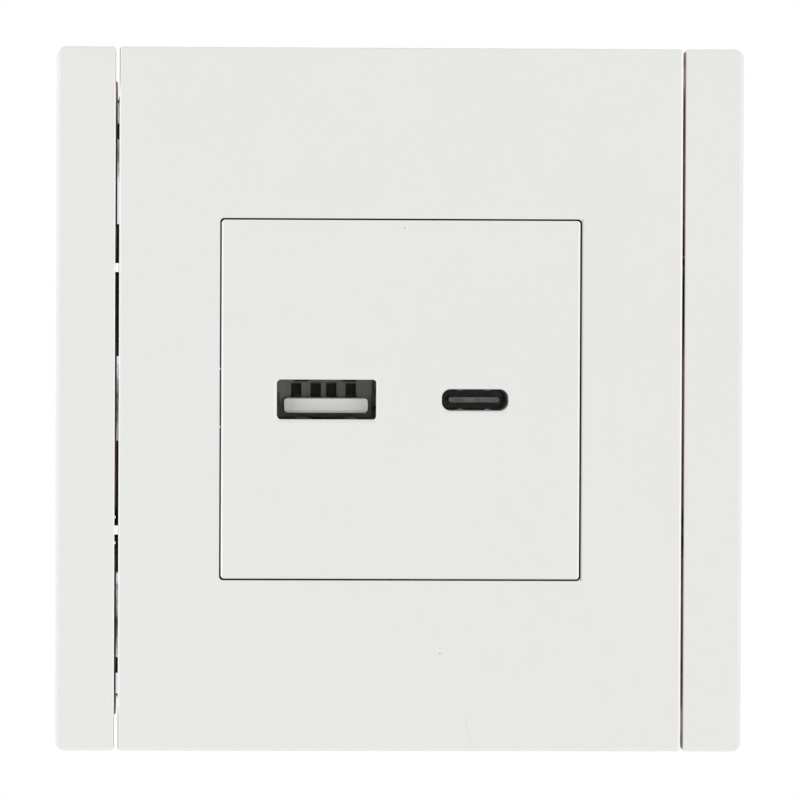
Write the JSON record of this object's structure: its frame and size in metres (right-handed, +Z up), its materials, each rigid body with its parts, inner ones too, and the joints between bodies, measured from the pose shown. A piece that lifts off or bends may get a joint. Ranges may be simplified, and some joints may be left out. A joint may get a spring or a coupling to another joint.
{
  "type": "usb wall socket",
  "caption": "Flush wall socket with one wide and one narrow USB charging port in a white square module, under a plate with two side strips.",
  "frame": {"origin": "centre of the fixing screw pattern, on the wall's surface behind the cover", "axes": "+Y into the wall, away from the front face; +Z up; +X to the right for someone who faces the socket"},
  "size_m": [0.0862, 0.0374, 0.088],
  "materials": {
    "white_cover": "smooth white moulded plastic, satin gloss",
    "white_housing": "plain moulded plastic",
    "zinc_steel": "zinc-plated sheet steel",
    "port_steel": "bright drawn steel shell",
    "screw_steel": "zinc-plated, slotted head",
    "pale_insulator": "pale grey moulded plastic",
    "black_plastic": "black moulded plastic",
    "contact_gold": "gold-flashed contact metal",
    "brass": "plain brass",
    "circuit_board": "green lacquered board",
    "ferrite": "dark sintered ferrite",
    "tan_ceramic": "tan fired ceramic",
    "yellow_tape": "yellow wrapping tape",
    "capacitor_sleeve": "dark shrunk sleeve",
    "blue_coating": "blue dipped coating",
    "brown_coating": "brown moulded case",
    "grey_block": "pale grey moulded plastic"
  },
  "bodies": {
    "socket": {"centre_plate": "white_cover", "left_side_strip": "white_cover", "right_side_strip": "white_cover", "support_frame": "zinc_steel", "front_cover": "white_cover", "module_housing": "white_housing", "wide_port_shell": "port_steel", "wide_port_insulator": "pale_insulator", "wide_port_contacts": "contact_gold", "narrow_port_shell": "port_steel", "narrow_port_insulator": "black_plastic", "narrow_port_contacts": "contact_gold", "port_board": "circuit_board", "port_controller": "black_plastic", "port_inductor": "ferrite", "port_capacitors": "tan_ceramic", "board_link_strip": "black_plastic", "board_link_pins": "contact_gold", "power_board": "circuit_board", "transformer_core": "ferrite", "transformer_bobbin": "black_plastic", "transformer_winding": "yellow_tape", "input_capacitors": "capacitor_sleeve", "output_capacitor": "capacitor_sleeve", "safety_capacitor": "blue_coating", "fuse": "brown_coating", "surge_disc": "blue_coating", "bridge_rectifier": "black_plastic", "power_controller": "black_plastic", "terminal_block": "grey_block", "left_contact_bar": "brass", "right_contact_bar": "brass"},
    "left_cage": {"left_clamp_cage": "zinc_steel"},
    "right_cage": {"right_clamp_cage": "zinc_steel"},
    "left_screw": {"left_terminal_screw": "screw_steel"},
    "right_screw": {"right_terminal_screw": "screw_steel"}
  },
  "joints": [
    {"name": "left_screw_turn", "type": "hinge", "parent": "socket", "child": "left_screw", "pos_m": [-0.004, 0.0255, -0.015], "axis": [0, -1, 0], "range_deg": [0, 1296]},
    {"name": "left_cage_rise", "type": "slide", "parent": "socket", "child": "left_cage", "axis": [0, 1, 0], "range_m": [0, 0.0018]},
    {"name": "right_screw_turn", "type": "hinge", "parent": "socket", "child": "right_screw", "pos_m": [0.004, 0.0255, -0.015], "axis": [0, -1, 0], "range_deg": [0, 1296]},
    {"name": "right_cage_rise", "type": "slide", "parent": "socket", "child": "right_cage", "axis": [0, 1, 0], "range_m": [0, 0.0018]}
  ],
  "couplings": [
    {"joint": "left_screw_turn", "follows": "left_cage_rise", "rad_per_m": 12566},
    {"joint": "right_screw_turn", "follows": "right_cage_rise", "rad_per_m": 12566}
  ]
}
